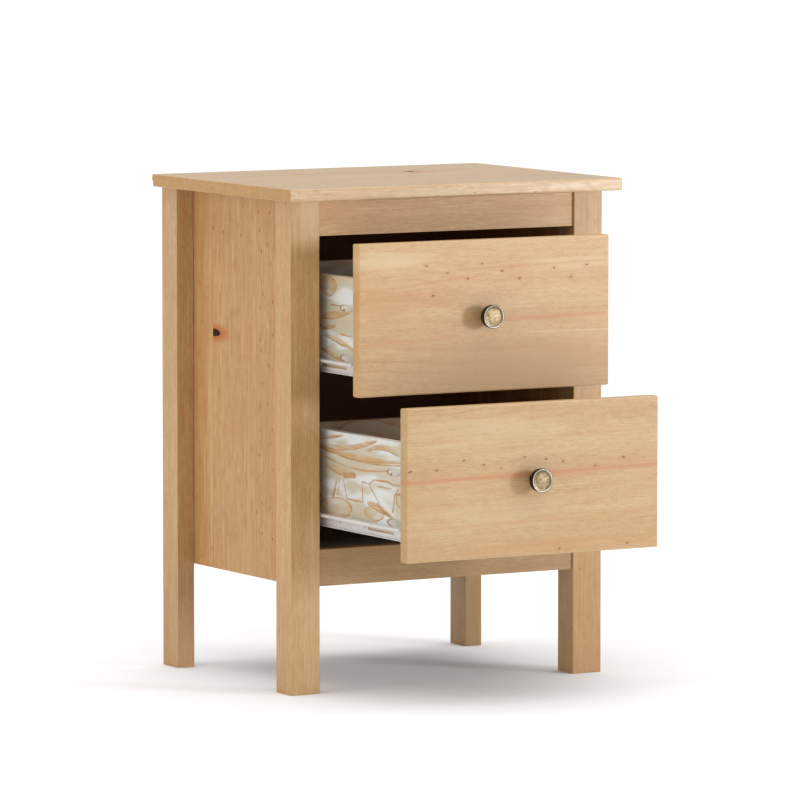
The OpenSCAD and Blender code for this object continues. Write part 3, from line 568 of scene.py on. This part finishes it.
def antique_brass(name, face_centre, radius, depth):
    """Cast brass with a mottled face, a thin bright ring painted as a highlight on its polished rim, and a
    near-black side.
    """
    metal = bpy.context.scene.nightstand.hardware
    finish = Finish(name)
    place = finish.coords.outputs["Object"]
    x, y, z = finish.split(place)
    dx = finish.less(x, face_centre[X])
    dz = finish.less(z, face_centre[Z])
    out = finish.calc("SQRT", finish.add(finish.times(dx, dx), finish.times(dz, dz)))
    out = finish.times(out, 1.0 / radius)
    back = finish.times(finish.less(y, face_centre[Y]), 1.0 / depth)
    mottle = finish.noise(place, scale=330.0, detail=5.0, roughness=0.7)
    pits = finish.noise(place, scale=900.0, detail=3.0, roughness=0.6)
    scratch = finish.noise(finish.scaled(place, (900.0, 900.0, 120.0)), detail=3.0)
    wear_and_highlight = finish.add(finish.times(mottle, 0.7), finish.times(pits, 0.3),
                      finish.step(out, 0.2, 0.9, 0.05, -0.07))
    face = finish.mix(finish.step(wear_and_highlight, 0.40, 0.62), metal.brass_dark, metal.brass_light)
    # The thin bright ring on the rim is a painted highlight on polished brass
    ring = finish.times(finish.step(out, 0.845, 0.875), finish.step(out, 0.945, 0.915))
    face = finish.mix(finish.times(ring, 0.85), face, metal.brass_ring)
    side = finish.calc("MAXIMUM", finish.step(back, 0.035, 0.06), finish.step(out, 0.94, 0.965))
    side = finish.times(side, finish.step(scratch, 0.2, 0.75, 1.0, 0.84))
    base = finish.mix(side, face, metal.brass_side)
    rough = finish.add(0.27, finish.times(mottle, 0.24))
    finish.coat(Base_Color=base, Metallic=1.0, Roughness=rough)
    finish.bump(finish.add(mottle, finish.times(pits, 0.6)), 0.30, 0.18 * MM)
    return finish.material


def enamel(name):
    """Epoxy-coated sheet steel, satin, with a slight orange peel."""
    finish = Finish(name)
    base = bpy.context.scene.nightstand.hardware.enamel
    place = finish.coords.outputs["Object"]
    cloud = finish.noise(finish.scaled(place, (60.0, 14.0, 60.0)), detail=3.0)
    peel = finish.noise(place, scale=1500.0, detail=2.0)
    finish.coat(Base_Color=finish.mix(finish.step(cloud, 0.35, 0.75), base, toned(base, 0.86)),
                Roughness=finish.step(cloud, 0.3, 0.8, 0.30, 0.42), Specular_IOR_Level=0.5)
    finish.bump(peel, 0.08, 0.1 * MM)
    return finish.material


def nylon(name):
    """Moulded natural nylon, slightly waxy."""
    finish = Finish(name)
    base = bpy.context.scene.nightstand.hardware.nylon
    place = finish.coords.outputs["Object"]
    cloud = finish.noise(place, scale=220.0, detail=3.0)
    finish.coat(Base_Color=finish.mix(cloud, base, toned(base, 0.88)),
                Roughness=finish.step(cloud, 0.3, 0.7, 0.34, 0.46),
                Subsurface_Weight=0.1, Subsurface_Scale=1.0 * MM)
    finish.bump(cloud, 0.06, 0.1 * MM)
    return finish.material


def zinc(name):
    """Zinc-plated steel with fine turning marks and dull patches."""
    finish = Finish(name)
    base = bpy.context.scene.nightstand.hardware.zinc
    place = finish.coords.outputs["Object"]
    cloud = finish.noise(place, scale=420.0, detail=4.0)
    marks = finish.noise(finish.scaled(place, (3000.0, 3000.0, 3000.0)), detail=1.0)
    finish.coat(Base_Color=finish.mix(finish.step(cloud, 0.35, 0.7), base, toned(base, 0.62)),
                Metallic=1.0, Roughness=finish.step(cloud, 0.3, 0.7, 0.28, 0.48))
    finish.bump(marks, 0.08, 0.05 * MM)
    return finish.material


def floor_paint(name):
    """Pale matt studio floor."""
    finish = Finish(name)
    base = bpy.context.scene.nightstand.stage.floor
    cloud = finish.noise(finish.coords.outputs["Object"], scale=0.6, detail=2.0)
    finish.coat(Base_Color=finish.mix(cloud, base, toned(base, 0.985)), Roughness=0.9,
                Specular_IOR_Level=0.1)
    return finish.material


# ---- Building ----

def finish_piece(name, shape, material, body, replaced):
    """Makes an object of a bmesh, and says what it rides on and stands for."""
    bmesh.ops.recalc_face_normals(shape, faces=shape.faces)
    mesh = bpy.data.meshes.new(name)
    shape.to_mesh(mesh)
    shape.free()
    mesh.materials.append(material)
    piece = bpy.data.objects.new(name, mesh)
    bpy.context.scene.collection.objects.link(piece)
    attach(piece, body)
    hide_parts(*replaced)
    return piece


def dress(node, material):
    """Gives a CAD node a finish in place of its plain colour."""
    slots = NODES[node].data.materials
    slots.clear()
    slots.append(material)


def ease_edges(node, radius):
    """Eases a CAD board's sharp edges."""
    board = NODES[node]
    bevel = board.modifiers.new("eased edges", "BEVEL")
    bevel.width = radius
    bevel.segments = 2
    bevel.limit_method = "ANGLE"
    bevel.angle_limit = math.radians(60.0)
    bevel.use_clamp_overlap = True


def eased_block(low, high, radius, upright_only=False):
    """A block with rounded edges and narrow flats beside them."""
    shape = bmesh.new()
    bmesh.ops.create_cube(shape, size=1.0)
    bmesh.ops.scale(shape, vec=high - low, verts=shape.verts)
    bmesh.ops.translate(shape, vec=(low + high) / 2, verts=shape.verts)
    edges = [
        edge for edge in shape.edges
        if not upright_only or abs(edge.verts[0].co.z - edge.verts[1].co.z) > radius
    ]
    round_over(shape, edges, radius)
    if upright_only:
        ends = [face for face in shape.faces if abs(face.normal.z) > 0.9]
        rims = {edge for face in ends for edge in face.edges}
        bmesh.ops.bevel(shape, geom=list(rims), offset=0.8 * MM, offset_type="OFFSET", affect="EDGES",
                        segments=2, profile=0.5, material=-1)
    add_flats(shape, radius)
    return shape


def round_over(shape, edges, radius):
    """Rounds edges over."""
    bmesh.ops.bevel(shape, geom=edges, offset=radius, offset_type="OFFSET", affect="EDGES",
                    segments=bpy.context.scene.nightstand.wood.segments, profile=0.5, material=-1)


def add_flats(shape, radius):
    """Keeps the large faces flat up to a narrow strip beside their rounded edges."""
    narrow = 3.0 * radius
    flats = [
        face for face in shape.faces
        if face.calc_area() > narrow * max(edge.calc_length() for edge in face.edges)
    ]
    bmesh.ops.inset_individual(shape, faces=flats, thickness=0.4 * MM, depth=0.0)
    for face in shape.faces:
        face.smooth = True


# What the side panels, the legs and the rails are cut from
PANEL_LOOK = dict(joints=(-54.5, 61.5), contrast=0.40, figure=1.6, tint=(0.88, 0.72, 0.495))
LEG_LOOK = dict(ring=6.0, contrast=0.30, pith=(70.0, 30.0), lean=0.01, scatter=0.5)
RAIL_LOOK = dict(ring=9.0, contrast=0.25, figure=0.7, pith=(60.0, 60.0), lean=0.015)

# Late wood on the left side of each drawer. A band has its start and end along the side, its
# heights at the start, halfway and at the end, and half its width
SIDE_BANDS = {
    "upper": (
        (-135, -50, 20, 12, 6, 3.3), (-95, -50, -2, -5, -9, 1.7), (-135, -100, -12, -12, -12, 0.8),
        (-140, -60, -30, -21, -14, 2.4), (-110, -50, -45, -38, -32, 1.8), (-60, 150, 20, 26, 46, 2.6),
        (-60, 150, -4, 0, 24, 2.8), (-50, 150, -34, -32, -20, 2.4),
    ),
    "lower": (
        (5, 70, 57, 52, 48, 1.2), (-80, 80, 58, 42, 41, 2.4), (-140, 90, 36, 32, 40, 2.4),
        (-140, 60, 32, 28, 36, 0.7), (-115, 65, 24, 18, 29, 1.0), (-135, -50, 42, 50, 42, 2.4),
        (-25, 55, 11, 12, 17, 3.6), (-115, -50, -35, -26, -22, 3.1), (70, 150, 21, 23, 26, 2.4),
        (60, 150, -5, -2, 3, 2.2),
    ),
}
SIDE_RINGS = {
    "upper": ((-72, 47, 22, 12, 0.9), (40, -20, 40, 9, 0.6)),
    "lower": (
        (24, -34, 38, 12, 0.7), (-70, -33, 24, 9, 0.8), (-130, -12, 10, 7, 0.1), (100, -30, 40, 14, 0.6),
    ),
}
SIDE_VEINS = {
    "upper": ((0.9, (-80, 24), (-115, 23)),),
    "lower": (
        (1.1, (-52, 2), (-40, 3), (-42, -22), (-2, -22), (7, 1)),
        (1.3, (-83, -20), (-57, 2), (-70, 8), (-104, 9), (-116, 6), (-134, 7)),
        (1.0, (-80, 1), (-114, 1)), (1.2, (-134, -3), (-127, -5), (-125, -14), (-133, -21)),
        (1.8, (-77, -21), (-99, -31), (-127, -38)), (1.5, (-116, -27), (-122, -6), (-129, 1)),
        (0.9, (17, -1), (21, -19)), (2.1, (25, -3), (34, -23)), (3.5, (5, 7), (-21, 9)),
    ),
}
# Bare wood behind the slot in each slide rail, and the screws deep in the pocket holes
SLOT_VEIN = (3.5, (-55, -56), (-140, -58))
POCKET_DOTS = ((-110, 19), (-110, -45))


class NIGHTSTAND_OT_top_board(bpy.types.Operator):
    """Make the top board, glued up from strips, with a knot and a rebate along its back"""

    bl_idname = "nightstand.top_board"
    bl_label = "Top board"

    def execute(self, context):
        wood = context.scene.nightstand.wood
        look = pine("top_board_pine", "top_board", X, Y, seed=3.0, pith=(25.0, 80.0), ring=7.0,
                    contrast=0.45, tint=(0.99, 0.98, 0.87), joints=(-35.0, 74.0), scatter=0.6,
                    knots=((73.0, 72.0, 7.0, 15.0),), gloss=0.45, figure=1.5, ends=0.9, wear_and_highlight=0.35,
                    streaks=(("halo", 0.55, -240.0, 60.0, 77.0, 0.03, 6.5),
                             ("halo", 0.9, 76.0, 112.0, 76.0, -0.25, 8.0)))
        low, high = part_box("top_board")
        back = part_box("back_panel")
        shape = eased_block(low, high, wood.top_edge)
        rebate_top = back[1].z
        rebate_front = back[0].y
        clip_rebate(shape, rebate_front, rebate_top)
        finish_piece("top", shape, look, "carcass", ["top_board"])
        return {"FINISHED"}


def clip_rebate(shape, front_y, top_z):
    """Cuts the rebate for the back panel along a board's lower back edge."""
    for point, normal in (((0.0, front_y, 0.0), (0.0, 1.0, 0.0)), ((0.0, 0.0, top_z), (0.0, 0.0, 1.0))):
        everything = shape.verts[:] + shape.edges[:] + shape.faces[:]
        bmesh.ops.bisect_plane(shape, geom=everything, dist=1e-7, plane_co=point, plane_no=normal)
    waste = [
        face for face in shape.faces
        if face.calc_center_median().y > front_y + 1e-6 and face.calc_center_median().z < top_z - 1e-6
    ]
    bmesh.ops.delete(shape, geom=waste, context="FACES")
    rim = [edge for edge in shape.edges if edge.is_boundary]
    for edge in rim:
        edge.smooth = False
    made = bmesh.ops.contextual_create(shape, geom=rim)["faces"]
    bmesh.ops.connect_verts_concave(shape, faces=made)
    for face in made:
        if face.is_valid:
            face.smooth = False
            for edge in face.edges:
                edge.smooth = False


class NIGHTSTAND_OT_legs(bpy.types.Operator):
    """Make the four legs with eased upright edges"""

    bl_idname = "nightstand.legs"
    bl_label = "Legs"

    def execute(self, context):
        wood = context.scene.nightstand.wood
        # The back right leg's darker tint is painted shade
        tints = {"front_left": (0.91, 0.81, 0.625), "front_right": (0.90, 0.82, 0.645),
                 "back_left": (0.91, 0.83, 0.68), "back_right": (0.70, 0.63, 0.49)}
        lower_shade = ("late", 0.30, -300.0, 0.0, 240.0, 90.0)
        # The front left leg's pale patches at its top and foot are painted light where the key light falls
        patches = {"front_left": (("cream", 0.7, 292.0, 14.0, 44.0, 34.0),
                                  ("cream", 0.25, -215.0, 14.0, 130.0, 34.0))}
        for number, (place, side) in enumerate((p, s) for p in ("front", "back") for s in SIDES):
            node = f"{place}_leg_{side}"
            key = f"{place}_{side}"
            look = pine(node + "_pine", node, Z, X, seed=11.0 + number, shade=0.15, tint=tints[key],
                        patches=patches.get(key, (lower_shade,)), **LEG_LOOK)
            shape = eased_block(*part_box(node), wood.leg_edge, upright_only=True)
            finish_piece(f"{place}_{side}_leg", shape, look, "carcass", [node])
        return {"FINISHED"}


class NIGHTSTAND_OT_panels(bpy.types.Operator):
    """Finish the side panels, which are glued up from upright strips, and the dark back and bottom"""

    bl_idname = "nightstand.panels"
    bl_label = "Panels"

    def execute(self, context):
        wood = context.scene.nightstand.wood
        luck = random.Random(8)
        flecks = [(luck.uniform(185, 225), luck.uniform(-40, 65)) for _ in range(4)]
        for across, spacing in ((-62, 26), (-90, 32)):
            along = 222.0
            while along > -200.0:
                flecks.append((along, across + luck.uniform(-9, 9)))
                along -= spacing * luck.uniform(0.4, 1.6)
        left = pine("left_panel_pine", "side_panel_left", Z, Y, seed=21.0, pith=(15.0, 60.0),
                    shade=0.06, tones=(0.30, 0.05, 0.20), flecks=flecks,
                    knots=((60.0, 57.5, 5.0, 17.0),),
                    patches=(("halo", 0.16, 190.0, 40.0, 60.0, 14.0),
                             ("cream", 0.5, -60.0, 68.0, 160.0, 9.0)), **PANEL_LOOK)
        right = pine("right_panel_pine", "side_panel_right", Z, Y, seed=31.0, pith=(25.0, 55.0),
                     shade=0.08, tones=(0.2, 0.0, 0.3), scatter=0.7,
                     knots=((-60.0, -18.0, 6.0, 8.0),), **PANEL_LOOK)
        dress("side_panel_left", left)
        dress("side_panel_right", right)
        dress("back_panel", felted("brown_hardboard", wood.hardboard))
        dress("bottom_panel", felted("stained_board", wood.stain))
        return {"FINISHED"}


class NIGHTSTAND_OT_rails(bpy.types.Operator):
    """Finish the rails that tie the legs together"""

    bl_idname = "nightstand.rails"
    bl_label = "Rails"

    def execute(self, context):
        wood = context.scene.nightstand.wood
        rails = [f"{place}_{end}_rail" for place in ("front", "back") for end in ("top", "bottom")]
        for number, node in enumerate(rails):
            # The bottom rails are tinted darker as painted shade under the drawers
            tint = (0.98, 0.84, 0.60) if "top" in node else (0.71, 0.63, 0.50)
            dress(node, pine(node + "_pine", node, X, Z, seed=41.0 + number, shade=0.30, scatter=0.4,
                             tint=tint, **RAIL_LOOK))
            ease_edges(node, wood.rail_edge)
        return {"FINISHED"}


class NIGHTSTAND_OT_drawer_fronts(bpy.types.Operator):
    """Make the drawer fronts, each with its own figure"""

    bl_idname = "nightstand.drawer_fronts"
    bl_label = "Drawer fronts"

    def execute(self, context):
        wood = context.scene.nightstand.wood
        looks = {
            "upper": dict(
                seed=51.0, tint=(0.93, 0.85, 0.70), pith=(40.0, 90.0), lean=0.06, contrast=0.30,
                flecks=((-85, 65), (-55, 55), (-25, 47), (-75, 28), (-5, 65), (25, 55), (50, 45), (100, 56),
                        (125, 44), (148, 58)),
                patches=(("cream", 0.75, -140.0, 72.0, 75.0, 16.0),
                         ("warm", 0.7, 60.0, -62.0, 190.0, 42.0),
                         ("blush", 0.35, -150.0, 20.0, 60.0, 18.0),
                         ("cream", 0.4, 120.0, 62.0, 80.0, 10.0)),
                streaks=(("blush", 0.45, -180.0, 10.0, 52.0, 0.10, 2.6),
                         ("blush", 0.5, -180.0, -60.0, 36.0, 0.06, 2.0),
                         ("rose", 0.55, 0.0, 182.0, -6.0, 0.015, 2.6),
                         ("blush", 0.4, -182.0, -30.0, -22.0, 0.05, 2.4),
                         ("blush", 0.4, -40.0, 182.0, 60.0, 0.02, 2.0)),
                seams=((58.0, 220.0, -22.5, -0.008, 0.8),)),
            "lower": dict(
                seed=57.0, tint=(0.88, 0.83, 0.70), pith=(-30.0, 110.0), lean=-0.03, contrast=0.22,
                flecks=((-175, 18), (-138, 18), (-100, 28), (-72, 21), (-48, 16), (-13, 28), (18, 24),
                        (42, 20), (90, 12), (130, 21), (37, -88), (136, -87)),
                patches=(("halo", 0.7, 198.0, 68.0, 9.0, 20.0),
                         ("cream", 0.35, -60.0, 60.0, 150.0, 26.0),
                         ("blush", 0.3, 40.0, -84.0, 240.0, 10.0),
                         ("cream", 0.3, -60.0, -40.0, 140.0, 20.0)),
                streaks=(("rose", 0.30, -230.0, 230.0, 7.5, 0.0165, 6.0),
                         ("rose", 0.65, -230.0, 230.0, 6.7, 0.0165, 2.7),
                         ("blush", 0.35, -200.0, 200.0, -52.0, 0.02, 2.4))),
        }
        for level in LEVELS:
            node = f"{level}_drawer_front"
            look = pine(node + "_pine", node, X, Z, ring=7.5, figure=0.6, ends=0.12, **looks[level])
            shape = eased_block(*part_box(node), wood.front_edge)
            finish_piece(f"{level}_front", shape, look, f"{level}_drawer", [node])
        return {"FINISHED"}


class NIGHTSTAND_OT_drawer_boxes(bpy.types.Operator):
    """Whitewash the drawer sides, backs and bottoms"""

    bl_idname = "nightstand.drawer_boxes"
    bl_label = "Drawer boxes"

    def execute(self, context):
        wood = context.scene.nightstand.wood
        # Each board's grain, its width and the direction of its inner face
        boards = {"left_side": (Y, Z, 1), "right_side": (Y, Z, -1), "back": (X, Z, -1),
                  "bottom": (X, Y, 1)}
        for number, level in enumerate(LEVELS):
            for offset, (part, (along, across, inside)) in enumerate(boards.items()):
                node = f"{level}_drawer_{part}"
                figure = {}
                if part == "left_side":
                    figure = dict(bands=SIDE_BANDS[level], rings=SIDE_RINGS[level], dots=POCKET_DOTS,
                                  veins=(*SIDE_VEINS[level], SLOT_VEIN))
                seed = 1.0 + 5.0 * number + offset
                dress(node, washed_ply(node + "_wash", node, along, across, seed, inside, **figure))
                if part != "bottom":
                    ease_edges(node, 0.5 * wood.rail_edge)
        return {"FINISHED"}


class NIGHTSTAND_OT_slides(bpy.types.Operator):
    """Enamel the slide rails and finish their nylon rollers"""

    bl_idname = "nightstand.slides"
    bl_label = "Slides"

    def execute(self, context):
        coat = enamel("slide_enamel")
        white = nylon("roller_nylon")
        for level in LEVELS:
            for side in SIDES:
                for part in ("cabinet", "drawer"):
                    dress(f"{level}_{side}_{part}_rail", coat)
                    dress(f"{level}_{side}_{part}_roller", white)
        return {"FINISHED"}


class NIGHTSTAND_OT_knobs(bpy.types.Operator):
    """Spin the cast brass knobs"""

    bl_idname = "nightstand.knobs"
    bl_label = "Knobs"

    def execute(self, context):
        for level in LEVELS:
            node = f"{level}_drawer_knob"
            low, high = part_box(node)
            radius = (high.x - low.x) / 2
            depth = high.y - low.y
            face = Vector(((low.x + high.x) / 2, low.y, (low.z + high.z) / 2))
            look = antique_brass(node + "_brass", face, radius, depth)
            shape = knob_shape(face, radius, depth)
            finish_piece(f"{level}_knob", shape, look, f"{level}_drawer", [node])
        return {"FINISHED"}


def arc(centre, radius, start, end, steps):
    """Points (out, forward) on an arc, with angles in degrees."""
    angles = [math.radians(start + (end - start) * i / steps) for i in range(steps + 1)]
    return [(centre[0] + radius * math.cos(a), centre[1] + radius * math.sin(a)) for a in angles]


def knob_shape(face, radius, depth):
    """A knob's shell: foot, neck, flared underside, upright side, rolled rim and dished face."""
    foot = 0.42 * radius
    neck = 0.367 * radius
    rim = 1.0 * MM
    belly = 2.5 * MM
    waist = radius - 0.5 * MM - belly
    flare_start = 0.227 * depth
    flare_depth = 0.318 * depth
    outline = [(0.0, 0.0), (foot, 0.0)]
    outline += arc((foot - 0.5 * MM, 0.6 * MM), 0.5 * MM, 0, 70, 3)
    outline += [(neck + 0.2 * MM, 1.6 * MM), (neck, 2.4 * MM)]
    quarter = [math.radians(7.5 * i) for i in range(13)]
    outline += [(neck + (waist - neck) * (1 - math.cos(a)), flare_start + flare_depth * math.sin(a))
                for a in quarter]
    outline += arc((waist, flare_start + flare_depth + belly), belly, -75, 0, 5)
    outline += [(radius - 0.15 * MM, depth - 3.0 * MM)]
    outline += arc((radius - rim, depth - rim), rim, 0, 150, 10)
    dish = radius - 2.5 * rim
    outline += [(dish * share, depth - sunk * MM)
                for share, sunk in ((1.0, 0.85), (0.75, 0.72), (0.4, 0.58), (0.0, 0.52))]
    shape = bmesh.new()
    base_y = face.y + depth
    verts = [shape.verts.new((face.x + out, base_y - forward, face.z)) for out, forward in outline]
    edges = [shape.edges.new(pair) for pair in zip(verts, verts[1:])]
    bmesh.ops.spin(shape, geom=verts + edges, cent=(face.x, base_y, face.z), axis=(0.0, 1.0, 0.0),
                   angle=math.tau, steps=bpy.context.scene.nightstand.hardware.knob_steps, use_merge=True)
    bmesh.ops.remove_doubles(shape, verts=shape.verts, dist=1e-6)
    for each in shape.faces:
        each.smooth = True
    return shape


class NIGHTSTAND_OT_fasteners(bpy.types.Operator):
    """Finish the screws, rivets and dowels"""

    bl_idname = "nightstand.fasteners"
    bl_label = "Fasteners"

    def execute(self, context):
        plated = zinc("zinc_plate")
        for node in NODES:
            if node.endswith(("_screws", "_screw", "_rivets")):
                dress(node, plated)
        dress("rail_dowels", pine("rail_dowel_beech", "rail_dowels", X, Z, seed=71.0, contrast=0.2))
        dress("panel_dowels", pine("panel_dowel_beech", "panel_dowels", Y, Z, seed=72.0, contrast=0.2))
        return {"FINISHED"}


# ---- Stage ----

def aim(thing, target):
    """Turns a light or the camera towards a point."""
    thing.rotation_mode = "QUATERNION"
    thing.rotation_quaternion = (Vector(target) - thing.location).to_track_quat("-Z", "Y")


def soft_box(name, place, target, size, power, tint=(1.0, 1.0, 1.0)):
    """A square soft light."""
    lamp = bpy.data.lights.new(name, "AREA")
    lamp.shape = "SQUARE"
    lamp.size = size
    lamp.energy = power
    lamp.color = tint
    light = bpy.data.objects.new(name, lamp)
    light.location = place
    aim(light, target)
    bpy.context.scene.collection.objects.link(light)


def ceiling_light(strength, spread):
    """An even light from straight above, as from a wide white ceiling."""
    lamp = bpy.data.lights.new("ceiling", "SUN")
    lamp.energy = strength
    lamp.angle = spread
    light = bpy.data.objects.new("ceiling", lamp)
    light.location = (0.0, 0.0, 3.0)
    aim(light, (0.0, 0.0, 0.0))
    bpy.context.scene.collection.objects.link(light)


# Where the soft lights stand, and how far right of and above the middle the camera aims
KEY_PLACE = (2.15, -2.75, 0.75)
FILL_PLACE = (-3.5, 0.0, 1.1)
AIM_RIGHT = 0.0243
AIM_UP = 0.0289


class NIGHTSTAND_OT_stage(bpy.types.Operator):
    """Set out the floor, the lights and the camera"""

    bl_idname = "nightstand.stage"
    bl_label = "Stage"

    def execute(self, context):
        scene = context.scene
        stage = scene.nightstand.stage
        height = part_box("top_board")[1].z
        shape = bmesh.new()
        bmesh.ops.create_circle(shape, cap_ends=True, cap_tris=True, segments=96, radius=90.0)
        mesh = bpy.data.meshes.new("floor")
        shape.to_mesh(mesh)
        shape.free()
        mesh.materials.append(floor_paint("floor_paint"))
        floor = bpy.data.objects.new("floor", mesh)
        scene.collection.objects.link(floor)

        world = bpy.data.worlds.new("studio")
        world.use_nodes = True
        background = world.node_tree.nodes["Background"]
        background.inputs["Color"].default_value = (1.0, 1.0, 1.0, 1.0)
        background.inputs["Strength"].default_value = stage.sky
        scene.world = world
        scene.view_settings.view_transform = "Standard"

        middle = Vector((0.0, 0.0, height / 2))
        soft_box("key", KEY_PLACE, middle, 0.65, stage.key, (0.96, 1.0, 1.10))
        soft_box("fill", FILL_PLACE, middle, 2.0, stage.fill)
        ceiling_light(stage.ceiling, math.radians(75.0))

        forward = Vector((-math.sin(stage.azimuth) * math.cos(stage.elevation),
                          math.cos(stage.azimuth) * math.cos(stage.elevation), -math.sin(stage.elevation)))
        right = forward.cross(Vector((0.0, 0.0, 1.0))).normalized()
        up = right.cross(forward)
        target = middle + right * AIM_RIGHT + up * AIM_UP
        lens = bpy.data.cameras.new("camera")
        lens.lens = stage.lens
        lens.sensor_width = 36.0
        lens.clip_end = 400.0
        camera = bpy.data.objects.new("camera", lens)
        camera.location = target - forward * stage.distance
        aim(camera, target)
        scene.collection.objects.link(camera)
        scene.camera = camera
        return {"FINISHED"}


# ---- Panel and registration ----

STEPS = (
    NIGHTSTAND_OT_stage,
    NIGHTSTAND_OT_top_board,
    NIGHTSTAND_OT_legs,
    NIGHTSTAND_OT_panels,
    NIGHTSTAND_OT_rails,
    NIGHTSTAND_OT_drawer_fronts,
    NIGHTSTAND_OT_drawer_boxes,
    NIGHTSTAND_OT_slides,
    NIGHTSTAND_OT_knobs,
    NIGHTSTAND_OT_fasteners,
)


class NIGHTSTAND_PT_sidebar(bpy.types.Panel):
    """Lists the nightstand's settings and building steps"""

    bl_idname = "NIGHTSTAND_PT_sidebar"
    bl_label = "Nightstand"
    bl_space_type = "VIEW_3D"
    bl_region_type = "UI"
    bl_category = "Nightstand"

    def draw(self, context):
        settings = context.scene.nightstand
        for group in (settings.wood, settings.hardware, settings.stage):
            box = self.layout.box()
            for name in group.__annotations__:
                box.prop(group, name)
        for step in STEPS:
            self.layout.operator(step.bl_idname)


CLASSES = (WoodSettings, HardwareSettings, StageSettings, NightstandSettings, *STEPS, NIGHTSTAND_PT_sidebar)


def register():
    for each in CLASSES:
        bpy.utils.register_class(each)
    bpy.types.Scene.nightstand = PointerProperty(type=NightstandSettings)


def unregister():
    del bpy.types.Scene.nightstand
    for each in reversed(CLASSES):
        bpy.utils.unregister_class(each)


def main():
    """Builds everything in order."""
    register()
    for step in STEPS:
        group, name = step.bl_idname.split(".")
        getattr(getattr(bpy.ops, group), name)()


if __name__ == "__main__":
    main()
